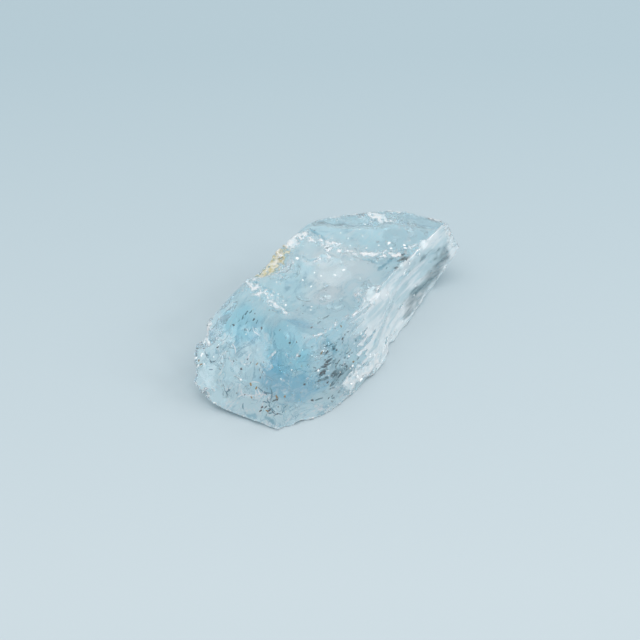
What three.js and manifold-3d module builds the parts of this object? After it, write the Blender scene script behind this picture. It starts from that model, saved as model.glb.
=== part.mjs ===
// A rough aquamarine crystal: one broken length of a hexagonal beryl prism, lying on its flattest break.
// It is cut the way the real one broke: a long six-sided prism is split by flat breaks, and then
// shell-shaped (conchoidal) flakes are taken off its top, its ends and its back.
// Millimetres, +Z up. +X runs along the crystal's c-axis to its thin end.
import * as THREE from "three";
import { mergeVertices } from "three/addons/utils/BufferGeometryUtils.js";
import Module from "manifold-3d";

const wasm = await Module();
wasm.setup();

// The prism before it broke. Of its six sides, only the front one survives, along the far part of the flank.
const prismLength = 60;
const prismRadius = 9.4;
const prismMiddle = [2.7, 1.8, 2.4];
const prismLean = 14;
const prismHeading = 3;

// Flat breaks. heading: the way the face looks, anticlockwise from +X, in degrees.
// rise: how far it looks up from level. at: a point on the face.
const breaks = [
  { name: "rest", heading: 0, rise: -90, at: [-4.6, -2, 0] },
  { name: "top, near half", heading: 130, rise: 84, at: [-8.2, 0.2, 8.2] },
  { name: "top, far half", heading: -73, rise: 82, at: [8.6, -4.1, 7.7] },
  { name: "top, back slope", heading: 88, rise: 56, at: [5.9, 5.5, 8.8] },
  { name: "top, thin end", heading: 15, rise: 74, at: [13.2, 0, 7.9] },
  { name: "blunt end, shoulder", heading: 150, rise: 68, at: [-8.2, 0.2, 8.2] },
  { name: "blunt end, upper", heading: 176, rise: 46, at: [-10.9, -0.5, 7] },
  { name: "blunt end, middle", heading: 192, rise: 30, at: [-14.1, -0.5, 3.4] },
  { name: "blunt end, foot", heading: 186, rise: -46, at: [-16.3, 0.9, 0.8] },
  { name: "blunt end, left foot", heading: 173, rise: -41, at: [-16.6, 3.6, 1.4] },
  { name: "blunt end, undercut", heading: 142, rise: -19, at: [-16.6, 5.8, 4.4] },
  { name: "front, corner", heading: -121, rise: 17, at: [-14.6, -4.5, 0] },
  { name: "front, near half", heading: -103, rise: 13, at: [-11.6, -6.5, 0] },
  { name: "front, middle", heading: -94, rise: 14, at: [-2.3, -7.6, 0] },
  { name: "front, foot", heading: -78, rise: -30, at: [-2.3, -7.6, 0] },
  { name: "back", heading: 90, rise: 18, at: [-4.6, 7.2, 5.7] },
  { name: "back, far half", heading: 52, rise: 20, at: [8.8, 3.3, 8.8] },
  { name: "back, foot", heading: 84, rise: -38, at: [-2.7, 4.2, 1.9] },
  { name: "thin end", heading: 22, rise: 14, at: [15.2, -4.8, 6.7] },
  { name: "thin end, under", heading: -8, rise: -52, at: [15.1, -4.7, 2.3] },
];

// Shell-shaped flakes. at: the middle of the ball that scoops the flake out. radii: its half axes.
const flakes = [
  { name: "long dish on top", at: [6.7, -0.4, 23], radii: [12.4, 13.4, 15.3] },
  { name: "wide shoulder", at: [-4, -1, 20.6], radii: [12.4, 11.8, 13.5] },
  { name: "saddle", at: [-3.1, 7.6, 10.9], radii: [3.6, 4.2, 4.2] },
  { name: "front dish", at: [7.4, -20.3, 4.3], radii: [19.1, 15.3, 13.4] },
  { name: "front notch", at: [0.4, -9.8, 2.1], radii: [2.5, 2.9, 3.1] },
  { name: "back hollow", at: [-7.4, 16.2, 1.9], radii: [10.5, 10.5, 6.7] },
  { name: "back foot flake", at: [6.9, 11, -1], radii: [8.6, 7.6, 7.6] },
  { name: "under the blunt end", at: [-16, 6.6, -5.7], radii: [7.6, 6.7, 7.6] },
];

const ballDetail = 16;
const blockSize = 120;

// A closed three.js shape, as a solid that can be cut.
function solid(geometry) {
  const bare = geometry.clone();
  bare.deleteAttribute("normal");
  bare.deleteAttribute("uv");
  const merged = mergeVertices(bare, 1e-4);
  return new wasm.Manifold(new wasm.Mesh({
    numProp: 3,
    vertProperties: new Float32Array(merged.attributes.position.array),
    triVerts: new Uint32Array(merged.index.array),
  }));
}

// The unit vector that a break faces along.
function looking({ heading, rise }) {
  const turn = THREE.MathUtils.degToRad(heading);
  const lift = THREE.MathUtils.degToRad(rise);
  return new THREE.Vector3(
    Math.cos(turn) * Math.cos(lift),
    Math.sin(turn) * Math.cos(lift),
    Math.sin(lift),
  );
}

// The long six-sided prism, its axis near X, rolled so that its front side leans back.
function prism() {
  const g = new THREE.CylinderGeometry(prismRadius, prismRadius, prismLength, 6);
  g.rotateZ(-Math.PI / 2);
  g.rotateX(-THREE.MathUtils.degToRad(prismLean));
  g.rotateZ(THREE.MathUtils.degToRad(prismHeading));
  g.translate(...prismMiddle);
  return solid(g);
}

// A block that fills everything in front of a break.
function beyond(face) {
  const g = new THREE.BoxGeometry(blockSize, blockSize, blockSize);
  g.translate(0, 0, blockSize / 2);
  g.applyQuaternion(new THREE.Quaternion().setFromUnitVectors(new THREE.Vector3(0, 0, 1), looking(face)));
  g.translate(...face.at);
  return solid(g);
}

// The egg-shaped ball that scoops out a flake.
function ball(flake) {
  const g = new THREE.IcosahedronGeometry(1, ballDetail);
  g.scale(...flake.radii);
  g.translate(...flake.at);
  return solid(g);
}

// Puts the origin at the middle of the footprint, on the surface that the stone lies on.
function centreFootprint(geometry) {
  geometry.computeBoundingBox();
  const middle = geometry.boundingBox.getCenter(new THREE.Vector3());
  geometry.translate(-middle.x, -middle.y, -geometry.boundingBox.min.z);
}

let stone = prism();
for (const face of breaks) stone = stone.subtract(beyond(face));
for (const flake of flakes) stone = stone.subtract(ball(flake));

const cut = stone.getMesh();
const geometry = new THREE.BufferGeometry()
  .setAttribute("position", new THREE.BufferAttribute(cut.vertProperties, 3))
  .setIndex(new THREE.BufferAttribute(cut.triVerts, 1));
centreFootprint(geometry);
geometry.computeVertexNormals();

const aquamarine = new THREE.Mesh(
  geometry,
  new THREE.MeshStandardMaterial({ color: 0x9cc6d4, roughness: 0.08, metalness: 0 }),
);
aquamarine.name = "aquamarine_crystal";

const object = new THREE.Group();
object.add(aquamarine);
export default object;
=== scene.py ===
"""The looks of a rough aquamarine crystal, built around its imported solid.

It makes the broken surface of the stone, what is sealed inside it, what lies on it, and a plain pale studio.
"""

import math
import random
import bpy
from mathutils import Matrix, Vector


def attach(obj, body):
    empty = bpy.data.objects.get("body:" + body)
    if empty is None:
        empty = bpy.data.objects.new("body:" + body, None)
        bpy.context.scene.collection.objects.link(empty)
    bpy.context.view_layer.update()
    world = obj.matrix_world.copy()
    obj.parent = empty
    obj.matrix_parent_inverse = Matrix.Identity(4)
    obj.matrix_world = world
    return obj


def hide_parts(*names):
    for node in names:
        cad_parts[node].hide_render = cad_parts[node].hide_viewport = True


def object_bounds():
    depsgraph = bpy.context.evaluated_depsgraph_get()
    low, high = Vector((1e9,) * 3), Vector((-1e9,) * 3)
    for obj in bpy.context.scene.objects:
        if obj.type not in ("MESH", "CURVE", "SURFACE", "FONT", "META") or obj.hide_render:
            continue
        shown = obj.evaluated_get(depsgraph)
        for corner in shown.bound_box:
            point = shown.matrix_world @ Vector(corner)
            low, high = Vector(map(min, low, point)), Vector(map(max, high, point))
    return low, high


bl_info = {
    "name": "Aquamarine crystal",
    "version": (1, 0, 0),
    "blender": (4, 5, 0),
    "location": "3D View > Sidebar > Aquamarine",
    "description": "Builds a rough aquamarine crystal, its sealed inclusions and a plain studio",
    "category": "Object",
}

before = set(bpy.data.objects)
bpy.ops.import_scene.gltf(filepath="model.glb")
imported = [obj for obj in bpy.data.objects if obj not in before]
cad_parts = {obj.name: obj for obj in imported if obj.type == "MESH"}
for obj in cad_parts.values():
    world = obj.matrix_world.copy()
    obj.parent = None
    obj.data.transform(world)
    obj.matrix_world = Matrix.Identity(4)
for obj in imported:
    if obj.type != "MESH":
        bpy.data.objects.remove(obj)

import bmesh
import bpy
from bpy.props import FloatProperty, FloatVectorProperty, IntProperty, PointerProperty
from mathutils import Matrix, Vector, noise
from mathutils.bvhtree import BVHTree

CAD_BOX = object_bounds()
CAD_NODE = "aquamarine_crystal"
STONE = "crystal_surface"
BODY = "root"
MM = 0.001
COVER = 0.1  # least cover over a thing sealed in the stone, in millimetres, besides a share of its length
SHARP_TURN = math.radians(14)  # least angle that an edge turns by, for chips to break off it

# Where a look gives way to another, in millimetres. The first three are heights, the last runs along X.
DISH_RISE = (6.7, 7.3)  # up into the level dishes
LUMP_FALL = (7.4, 6.2)  # down to the lumpy sides
CRACK_FALL = (7.4, 6.4)  # down to the cracked sides
HAZE_START = (-7.5, -0.5)  # into the cloudy part of the flank

FLOOR_GAP = 0.08  # how far the floor lies under the stone, to clear the lowest grains, in millimetres
# The floor's painted shade fades between these.
FLOOR_SHADE_FADE = (-0.035, 0.055)  # where the floor's tint starts and ends its fade, in metres from the middle
LAMPS = (
    # name, place and width in metres, which power it takes, and its share of that
    ("top_lamp", (-0.12, 0.06, 0.45), 0.70, "key_power", 1.0),
    ("side_lamp", (0.22, -0.40, 0.26), 0.20, "key_power", 0.4),
    ("crest_glint_lamp", (0.34, -0.09, 0.27), 0.05, "glint_power", 1.0),
    ("corner_glint_lamp", (-0.09, -0.36, 0.25), 0.05, "glint_power", 1.0),
)


class Sides:
    """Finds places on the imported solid. They are given as shares of its box, from 0 to 1.

    x runs from the blunt end to the thin tip, y from the ribbed flank to the far side, and z upwards.
    """

    def __init__(self, solid, box):
        self.low, self.high = (Vector(corner) for corner in box)
        faces = [tuple(face.vertices) for face in solid.polygons]
        self.tree = BVHTree.FromPolygons([point.co for point in solid.vertices], faces)

    def within(self, x, y, z):
        return self.low + Vector((x, y, z)) * (self.high - self.low)

    def first_met(self, start, direction):
        place = self.tree.ray_cast(start, direction)[0]
        if place is None:
            raise ValueError(f"The stone isn't met from {tuple(start)}")
        return place

    def top(self, x, y):
        return self.first_met(self.within(x, y, 2), (0, 0, -1))

    def flank(self, x, z):
        return self.first_met(self.within(x, -1, z), (0, 1, 0))

    def blunt_end(self, y, z):
        return self.first_met(self.within(-1, y, z), (1, 0, 0))

    def base(self, x, y):
        return self.within(x, y, 0)


SIDES = Sides(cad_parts[CAD_NODE].data, CAD_BOX)
top, flank, blunt_end, base = SIDES.top, SIDES.flank, SIDES.blunt_end, SIDES.base

# Marks on the surface: what it is, how strong, how far it reaches in millimetres, the places that it joins.
FROSTED_BANDS = (
    ("step beside the saddle", 1.1, 1.9, (top(0.32, 0.90), top(0.28, 0.55))),
    ("ridge between the dishes", 1.15, 1.7, (top(0.58, 0.80), top(0.62, 0.50), top(0.70, 0.25))),
    ("ridge's near end", 1.0, 1.0, (top(0.70, 0.25), top(0.78, 0.20))),
    ("flake under the ridge", 1.0, 0.9, (top(0.55, 0.60), top(0.55, 0.45))),
    ("flake on the shoulder", 0.9, 0.8, (top(0.40, 0.45), top(0.40, 0.35))),
    ("flake by the saddle", 0.9, 0.7, (top(0.50, 0.75), top(0.50, 0.70))),
    ("far rim of the long dish", 1.4, 1.8, (top(0.80, 0.70), top(0.82, 0.55))),
    ("far rim, thinner end", 0.9, 1.2, (top(0.82, 0.55), top(0.85, 0.35))),
    ("thin tip", 1.2, 1.9, (flank(0.96, 0.55), flank(0.95, 0.70))),
    ("left rim", 1.3, 1.2, (blunt_end(0.90, 0.55), top(0.15, 0.95))),
    ("saddle rim", 1.5, 2.0, (top(0.35, 0.90), top(0.50, 0.90), top(0.58, 0.90))),
    ("foot of the flank", 1.5, 2.0, (flank(0.45, 0.10), flank(0.30, 0.15))),
    ("flank's lower rim", 1.0, 0.9, (flank(0.60, 0.10), flank(0.45, 0.10))),
    ("facet under the shoulder", 1.1, 0.8, (flank(0.45, 0.75), flank(0.50, 0.80))),
    ("corner of the blunt end", 0.8, 0.5, (flank(0.20, 0.65), flank(0.12, 0.25))),
)
# Creases: real grooves, with painted shade laid along them in the crack tint.
SHADED_CREASES = (
    ("end of the long dish", 1.0, 0.6, (top(0.62, 0.85), top(0.60, 0.65))),
    ("foot of the step", 1.2, 0.4, (top(0.34, 0.90), top(0.32, 0.70))),
    ("shell mark", 0.8, 0.3, (top(0.52, 0.60), top(0.60, 0.55))),
    ("shell mark by the saddle", 0.8, 0.3, (top(0.50, 0.75), top(0.52, 0.60))),
    ("shell mark on the shoulder", 0.8, 0.3, (top(0.44, 0.75), top(0.44, 0.60))),
    ("flake on the ridge", 0.7, 0.6, (top(0.60, 0.45), top(0.62, 0.30))),
    ("crack along the crest", 1.1, 0.45, (top(0.60, 0.25), top(0.75, 0.25))),
    ("corner under the shoulder", 1.0, 0.9, (flank(0.24, 0.85), flank(0.26, 0.65))),
    ("lowest rim", 1.2, 0.3, (blunt_end(0.45, 0.10), blunt_end(0.25, 0.10))),
    ("left notch", 0.8, 0.45, (blunt_end(0.85, 0.45), blunt_end(0.75, 0.40))),
    ("left notch, upper mark", 0.8, 0.35, (blunt_end(0.90, 0.60), blunt_end(0.80, 0.50))),
)
# Painted dark reflections: dark streaks laid into the surface's colour along these bands, where the breaks
# would mirror dark surroundings.
PAINTED_DARK_REFLECTIONS = (
    ("near flank", 1.2, 2.6, (flank(0.25, 0.45), flank(0.30, 0.30))),
    ("far flank's rim", 1.4, 1.9, (flank(0.90, 0.45), flank(0.80, 0.25), flank(0.70, 0.15))),
    ("under the crest", 0.9, 1.0, (flank(0.78, 0.70), flank(0.88, 0.60))),
)
STAIN_BANDS = (
    ("saddle's rim", 1.0, 2.0, (top(0.40, 0.90), top(0.50, 0.90))),
)
DEEP_ZONES = (
    # middle and reach in millimetres of the blue zones of the blunt face
    (top(0.16, 0.35), 4.6),
    (top(0.18, 0.75), 3.6),
)
BLUE_POOLS = (
    # middle and reach in millimetres of the blue patches of the underside
    (base(0.25, 0.45), 4.8),
    (base(0.30, 0.85), 3.4),
)
WHITE_POOL = (base(0.60, 0.65), 8.0)

# Clusters of things in the stone: where, the middle, how far it spreads and how deep it lies under the
# surface, how many, the shortest and the longest. All in millimetres but the middle. Things of a cluster
# that is 0 deep aren't sealed in: they lie half in the surface.
DARK_SPECKS = (
    ("upper blunt face", top(0.18, 0.70), 1.8, 0.8, 13, 0.18, 0.38),
    ("blue zone", top(0.20, 0.30), 1.4, 0.8, 7, 0.18, 0.36),
    ("lower blunt face", blunt_end(0.45, 0.40), 1.6, 0.6, 8, 0.20, 0.40),
    ("foot corner", blunt_end(0.30, 0.25), 0.8, 0.5, 9, 0.20, 0.44),
    ("left side", blunt_end(0.80, 0.45), 1.3, 0.6, 7, 0.18, 0.38),
    ("near flank", flank(0.25, 0.40), 1.5, 0.5, 34, 0.18, 0.50),
    ("middle flank", flank(0.45, 0.50), 2.0, 1.2, 8, 0.12, 0.30),
    ("shoulder", top(0.36, 0.50), 2.0, 1.5, 7, 0.10, 0.22),
    ("whole stone", SIDES.within(0.45, 0.50, 0.50), 6.0, 3.5, 24, 0.10, 0.26),
)
# Painted dark reflections: dark sheets sealed in the stone stand in for breaks that mirror dark
# surroundings.
DARK_REFLECTION_SHEETS = (
    ("near flank", flank(0.27, 0.38), 1.5, 0.5, 84, 0.3, 1.2),
    ("foot corner", blunt_end(0.32, 0.25), 0.5, 0.6, 5, 0.4, 0.9),
    ("crest of the flank", top(0.70, 0.20), 0.8, 0.3, 36, 0.4, 1.2),
    ("upper blunt face", top(0.20, 0.75), 1.2, 0.4, 10, 0.3, 0.8),
    ("middle flank", flank(0.40, 0.40), 1.6, 0.5, 12, 0.4, 1.0),
    ("far flank", flank(0.76, 0.40), 2.2, 0.5, 8, 0.4, 1.2),
    ("corner under the shoulder", flank(0.27, 0.75), 0.6, 0.6, 6, 0.4, 0.9),
)
FRACTURES = (
    ("near flank", flank(0.25, 0.40), 2.2, 1.6, 26, 0.5, 2.0),
    ("under the ridge", flank(0.65, 0.75), 1.6, 1.2, 12, 0.5, 1.4),
    ("far flank", flank(0.76, 0.45), 2.8, 2.0, 20, 0.7, 2.2),
    ("middle flank", flank(0.50, 0.50), 2.6, 2.0, 14, 0.7, 2.0),
    ("blunt face", blunt_end(0.50, 0.55), 2.6, 1.6, 9, 0.6, 1.8),
    ("foot corner", blunt_end(0.35, 0.25), 1.2, 1.0, 4, 0.5, 1.2),
    ("left side", blunt_end(0.80, 0.45), 1.4, 1.2, 10, 0.5, 1.6),
    ("saddle", top(0.38, 0.80), 1.6, 2.0, 10, 0.6, 2.0),
    ("long dish", top(0.70, 0.60), 2.8, 3.0, 6, 0.7, 2.0),
    ("shoulder", top(0.42, 0.40), 2.0, 3.0, 6, 0.7, 1.8),
    ("thin tip", top(0.90, 0.35), 1.6, 2.0, 14, 0.5, 1.8),
)
# Painted glints: small white specks half in the surface stand in for glints.
SPARKLES = (
    ("shoulder", top(0.42, 0.50), 1.6, 0, 9, 0.22, 0.50),
    ("long dish", top(0.70, 0.60), 2.2, 0, 10, 0.18, 0.36),
    ("ridge's near end", top(0.75, 0.25), 1.0, 0, 10, 0.20, 0.50),
    ("step", top(0.31, 0.70), 1.3, 0, 10, 0.16, 0.36),
    ("foot of the flank", flank(0.38, 0.15), 1.4, 0, 11, 0.24, 0.55),
    ("blunt face", blunt_end(0.60, 0.55), 2.6, 0, 13, 0.18, 0.40),
    ("left rim", blunt_end(0.85, 0.40), 0.9, 0, 8, 0.20, 0.50),
    ("far flank", flank(0.70, 0.50), 2.6, 0, 9, 0.16, 0.34),
    ("near flank", flank(0.28, 0.40), 2.0, 0, 13, 0.16, 0.36),
)
RUST_FLAKES = (
    ("lower blunt face", blunt_end(0.50, 0.40), 0.9, 0.3, 4, 0.32, 0.50),
    ("foot corner", blunt_end(0.28, 0.28), 0.8, 0.3, 3, 0.32, 0.50),
    ("left side", blunt_end(0.85, 0.40), 0.9, 0.3, 2, 0.32, 0.50),
    ("flank", flank(0.35, 0.50), 1.8, 0.3, 4, 0.30, 0.44),
)
DARK_THREADS = (
    ("foot corner", blunt_end(0.30, 0.20), 0.9, 0.6, 8, 0.6, 2.0),
    ("lowest rim", blunt_end(0.50, 0.10), 1.3, 0.5, 5, 0.6, 1.8),
    ("left side", blunt_end(0.80, 0.45), 1.2, 0.6, 3, 0.5, 1.5),
)
WHITE_THREADS = (
    ("foot corner", blunt_end(0.40, 0.30), 1.0, 0.3, 9, 0.9, 2.4),
    ("blunt face", blunt_end(0.65, 0.60), 1.8, 0.4, 5, 0.7, 1.6),
    ("near flank", flank(0.30, 0.30), 1.6, 0.4, 5, 0.7, 1.4),
)
VEILS = (
    # where, middle, how wide in millimetres, direction that it faces
    ("blunt end", SIDES.within(0.22, 0.60, 0.60), 4.5, (-0.6, 0.2, 0.8)),
    ("near flank", SIDES.within(0.30, 0.20, 0.30), 4.4, (0.2, -0.8, 0.6)),
    ("far flank", SIDES.within(0.70, 0.25, 0.50), 5.0, (0.1, -0.8, 0.5)),
    ("under the long dish", SIDES.within(0.65, 0.55, 0.55), 5.0, (0.3, 0.3, 0.9)),
)


class Tree:
    """Adds nodes to a node tree and wires them, so that a field reads as a formula."""

    def __init__(self, tree):
        self.tree = tree

    def add(self, kind, *values, output=0, **settings):
        node = self.tree.nodes.new(kind)
        for name, value in settings.items():
            setattr(node, name, value)
        for index, value in enumerate(values):
            self.feed(node.inputs[index], value)
        return node.outputs[output]

    def feed(self, socket, value):
        if isinstance(value, bpy.types.NodeSocket):
            self.tree.links.new(value, socket)
        elif value is not None:
            socket.default_value = value

    def feed_all(self, node, values):
        """Feeds the inputs of a node by their names."""
        for name, value in values.items():
            self.feed(node.inputs[name], value)

    def math(self, operation, *values, clamp=False):
        return self.add("ShaderNodeMath", *values, operation=operation, use_clamp=clamp)

    def times(self, one, other):
        return self.math("MULTIPLY", one, other)

    def times_plus(self, one, other, extra):
        """One number times another, plus a third."""
        return self.math("MULTIPLY_ADD", one, other, extra)

    def vector(self, operation, *values):
        return self.add("ShaderNodeVectorMath", *values, operation=operation)

    def number(self, operation, *values):
        return self.add("ShaderNodeVectorMath", *values, operation=operation, output=1)

    def scaled(self, vector, amount):
        node = self.add("ShaderNodeVectorMath", vector, operation="SCALE").node
        self.feed(node.inputs["Scale"], amount)
        return node.outputs[0]

    def fade(self, value, start, end, low=0.0, high=1.0):
        return self.add(
            "ShaderNodeMapRange", value, start, end, low, high, interpolation_type="SMOOTHSTEP"
        )

    def noise(self, place, size, detail=2.0, roughness=0.5, twist=0.0):
        """Noise from -1 to 1, with features about `size` metres across."""
        node = self.tree.nodes.new("ShaderNodeTexNoise")
        self.feed_all(node, {
            "Vector": place, "Scale": 1.0 / size,
            "Detail": detail, "Roughness": roughness, "Distortion": twist,
        })
        return self.times_plus(node.outputs[0], 2.0, -1.0)

    def near_line(self, place, start, end, reach):
        """1 on the line from start to end, fading to 0 at the distance reach, which is in millimetres."""
        along = end - start
        offset = self.vector("SUBTRACT", place, tuple(start))
        share = self.number("DOT_PRODUCT", offset, tuple(along / along.length_squared))
        share = self.math("ADD", share, 0.0, clamp=True)
        nearest = self.vector("MULTIPLY", self.spread(share), tuple(along))
        distance = self.number("LENGTH", self.vector("SUBTRACT", offset, nearest))
        return self.fade(distance, 0.0, reach * MM, 1.0, 0.0)

    def near_paths(self, place, paths):
        """1 or more on the paths, fading to 0 beyond their reach."""
        fields = []
        for _, strength, reach, stops in paths:
            steps = [self.near_line(place, a, b, reach) for a, b in zip(stops, stops[1:])]
            fields.append(self.times(self.largest(steps), strength))
        return self.largest(fields)

    def near_point(self, place, middle, reach):
        """1 at the middle, fading to 0 at the distance reach, which is in millimetres."""
        distance = self.number("LENGTH", self.vector("SUBTRACT", place, tuple(middle)))
        return self.fade(distance, 0.0, reach * MM, 1.0, 0.0)

    def near_points(self, place, zones):
        """1 at the middle of any of the zones, fading to 0 beyond their reach."""
        return self.largest([self.near_point(place, middle, reach) for middle, reach in zones])

    def between(self, share, one, other):
        """One number or the other."""
        return self.times_plus(self.math("SUBTRACT", other, one), share, one)

    def parts(self, vector):
        """The three numbers of a vector."""
        return self.add("ShaderNodeSeparateXYZ", vector).node.outputs

    def spread(self, value):
        """The same number in all three places of a vector."""
        return self.add("ShaderNodeCombineXYZ", value, value, value)

    def blend(self, share, one, other):
        """One colour or the other. Three numbers are a plain colour."""
        mix = self.add("ShaderNodeMix", data_type="RGBA").node
        self.feed(mix.inputs["Factor"], share)
        for index, colour in ((6, one), (7, other)):
            is_field = isinstance(colour, bpy.types.NodeSocket)
            self.feed(mix.inputs[index], colour if is_field else (*colour, 1.0))
        return mix.outputs[2]

    def wandering(self, place, size, amount):
        """The place shifted this way and that by up to half the amount, so that straight lines wind."""
        shift = self.tree.nodes.new("ShaderNodeTexNoise")
        self.feed_all(shift, {"Vector": place, "Scale": 1.0 / size})
        sway = self.vector("SUBTRACT", shift.outputs["Color"], (0.5, 0.5, 0.5))
        return self.vector("ADD", place, self.scaled(sway, amount))

    def lines(self, place, size, width, twist=1.0):
        """Thin winding lines: 1 along them and 0 elsewhere."""
        swing = self.noise(place, size, detail=2.0, twist=twist)
        return self.fade(self.math("ABSOLUTE", swing), 0.0, width, 1.0, 0.0)

    def blurred(self, vector, iterations, weight=1.0):
        """A vector field averaged over the neighbouring points of a mesh."""
        node = self.add("GeometryNodeBlurAttribute", data_type="FLOAT_VECTOR").node
        for socket, value in (("Value", vector), ("Iterations", iterations), ("Weight", weight)):
            self.feed(next(item for item in node.inputs if item.name == socket and item.enabled), value)
        return next(item for item in node.outputs if item.enabled)

    def largest(self, values):
        most = values[0]
        for value in values[1:]:
            most = self.math("MAXIMUM", most, value)
        return most

    def stretched(self, place, *sizes):
        """The place in steps of so many millimetres each way, so that noise of size 1 is drawn out."""
        return self.vector("MULTIPLY", place, tuple(1.0 / (size * MM) for size in sizes))

    def streaks(self, place, along, across, detail=2.0, roughness=0.5):
        """Noise from -1 to 1, with features of so many millimetres along the crystal and across it."""
        return self.noise(self.stretched(place, along, across, across), 1.0, detail, roughness)


def colour_setting(name, description, default):
    return FloatVectorProperty(
        name=name, description=description, size=3, default=default, min=0, max=1, subtype="COLOR",
    )


def length_setting(name, description, default, **limits):
    """A setting that holds a length in metres."""
    return FloatProperty(
        name=name, description=description, default=default, precision=6,
        subtype="DISTANCE", unit="LENGTH", **limits,
    )


class StoneSettings(bpy.types.PropertyGroup):
    grain: length_setting("Grain", "Side of one cell of the surface mesh", 0.000130, min=0.0001)
    chip_count: IntProperty(
        name="Edge chips", description="Small flakes broken off the sharp edges", default=120, min=0,
    )
    chip_depth: length_setting("Chip depth", "Depth of the deepest edge chip", 0.00034)
    wave_height: length_setting("Wave height", "Height of the broad waves on the breaks", 0.00022)
    lump_height: length_setting("Lump height", "Height of the small lumps on the breaks", 0.00005)
    rib_height: length_setting("Rib height", "Height of the long ribs on the flank", 0.00009)
    hackle_height: length_setting("Hackle height", "Height of the rough grain on the frosted bands", 0.00006)
    body_tint: colour_setting("Body tint", "Tint of the clear surface", (0.93, 0.97, 0.985))
    dish_tint: colour_setting("Dish tint", "Tint of the level dishes on top", (0.90, 0.98, 0.99))
    blunt_tint: colour_setting("Blunt tint", "Tint of the blunt end", (0.96, 0.985, 0.99))
    deep_tint: colour_setting("Deep tint", "Tint over the blue zones of the blunt end", (0.50, 0.86, 0.96))
    # Also the painted shade along the creases.
    crack_and_shade_tint: colour_setting(
        "Crack tint", "Tint along the cracks that reach the surface", (0.24, 0.52, 0.63),
    )
    # Painted dark reflections: the tint of the dark streaks on the flank.
    painted_reflection_tint: colour_setting("Smoky tint", "Tint of the dark streaks on the flank", (0.18, 0.29, 0.33))
    stain_tint: colour_setting("Stain tint", "Iron stain on the rim of the saddle", (0.72, 0.66, 0.38))
    haze_tint: colour_setting("Haze tint", "Darkest tint of the cloudy flank", (0.72, 0.84, 0.87))
    milk_tint: colour_setting("Milk tint", "Colour of the crushed underside", (0.68, 0.92, 0.97))
    pool_tint: colour_setting("Pool tint", "Colour of the blue patches of the underside", (0.26, 0.64, 0.80))
    water_tint: colour_setting("Water tint", "Colour that the stone lets through best", (0.10, 0.72, 0.90))
    water_density: FloatProperty(
        name="Water density", description="How strongly the stone absorbs light, per metre",
        default=25.0, min=0,
    )
    refraction: FloatProperty(
        name="Refraction", description="Refractive index of beryl", default=1.577, min=1, max=3,
    )


class InclusionSettings(bpy.types.PropertyGroup):
    speck_tint: colour_setting("Speck tint", "Colour of the dark specks", (0.001, 0.016, 0.030))
    # Painted dark reflections: the two tints of the dark sheets sealed in the stone.
    reflection_sheet_tint: colour_setting(
        "Gap tint", "Darkest colour of the gaps of the inner cracks", (0.01, 0.06, 0.085),
    )
    curl_tint: colour_setting("Curl tint", "Darkest colour of the blue curls", (0.03, 0.20, 0.29))
    reflection_sheet_rim_tint: colour_setting(
        "Gap rim tint", "Lightest colour of the gaps of the inner cracks", (0.12, 0.34, 0.42),
    )
    rust_tint: colour_setting("Rust tint", "Colour of the rusty flakes", (0.34, 0.20, 0.04))
    white_tint: colour_setting(
        "White tint", "Colour of the white grains, droplets and threads", (0.90, 0.95, 0.97),
    )
    thread_width: length_setting("Thread width", "Width of a white thread in its middle", 0.00018)
    grain_density: FloatProperty(
        name="Grain density", description="White grains per square metre where the surface is fully frosted",
        default=42e6, min=0,
    )
    grain_size: length_setting("Grain size", "Length of the largest white grain", 0.00010)
    droplet_density: FloatProperty(
        name="Droplet density", description="Droplets per square metre of a healed fracture",
        default=90e6, min=0,
    )
    droplet_size: length_setting("Droplet size", "Length of the largest droplet", 0.00007)


class StudioSettings(bpy.types.PropertyGroup):
    azimuth: FloatProperty(
        name="Azimuth", description="Direction that the camera stands in",
        default=math.radians(-55), subtype="ANGLE", unit="ROTATION",
    )
    elevation: FloatProperty(
        name="Elevation", description="How far the camera looks down",
        default=math.radians(40), subtype="ANGLE", unit="ROTATION",
    )
    distance: FloatProperty(
        name="Distance", description="From the camera to the point it looks at",
        default=0.1783, subtype="DISTANCE", unit="LENGTH",
    )
    aim: FloatVectorProperty(
        name="Aim", description="Point that the camera looks at", size=3,
        default=(-0.00458, -0.00196, 0.0058), subtype="TRANSLATION", unit="LENGTH", precision=5,
    )
    lens: FloatProperty(name="Lens", description="Focal length in millimetres", default=100.0, min=10)
    # Painted shade: the direction in which the floor grows darker.
    shade_heading: FloatProperty(
        name="Fade heading", description="Direction across the floor that its tint fades in, from X",
        default=math.radians(35), subtype="ANGLE", unit="ROTATION",
    )
    floor_near: colour_setting(
        "Floor, near", "Colour of the floor in front of the stone", (0.524, 0.604, 0.640),
    )
    # Painted shade: the darker colour of the floor behind the stone.
    floor_far_shaded: colour_setting("Floor, far", "Colour of the floor behind the stone", (0.412, 0.518, 0.568))
    sky_tint: colour_setting("Sky tint", "Colour of the soft light from all round", (0.97, 0.985, 1.0))
    sky_strength: FloatProperty(
        name="Sky strength", description="Strength of that light", default=0.69, min=0,
    )
    key_power: FloatProperty(
        name="Key power", description="Power of the large soft lamp", default=1.25, min=0, unit="POWER",
    )
    glint_power: FloatProperty(
        name="Glint power", description="Power of each small lamp", default=0.12, min=0, unit="POWER",
    )


def geometry_tree(name):
    """A new Geometry Nodes group, as (tree, the geometry that comes in, the socket that it leaves by)."""
    group = bpy.data.node_groups.new(name, "GeometryNodeTree")
    group.interface.new_socket("Geometry", in_out="INPUT", socket_type="NodeSocketGeometry")
    group.interface.new_socket("Geometry", in_out="OUTPUT", socket_type="NodeSocketGeometry")
    way_in = group.nodes.new("NodeGroupInput").outputs[0]
    way_out = group.nodes.new("NodeGroupOutput").inputs[0]
    return Tree(group), way_in, way_out


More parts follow.
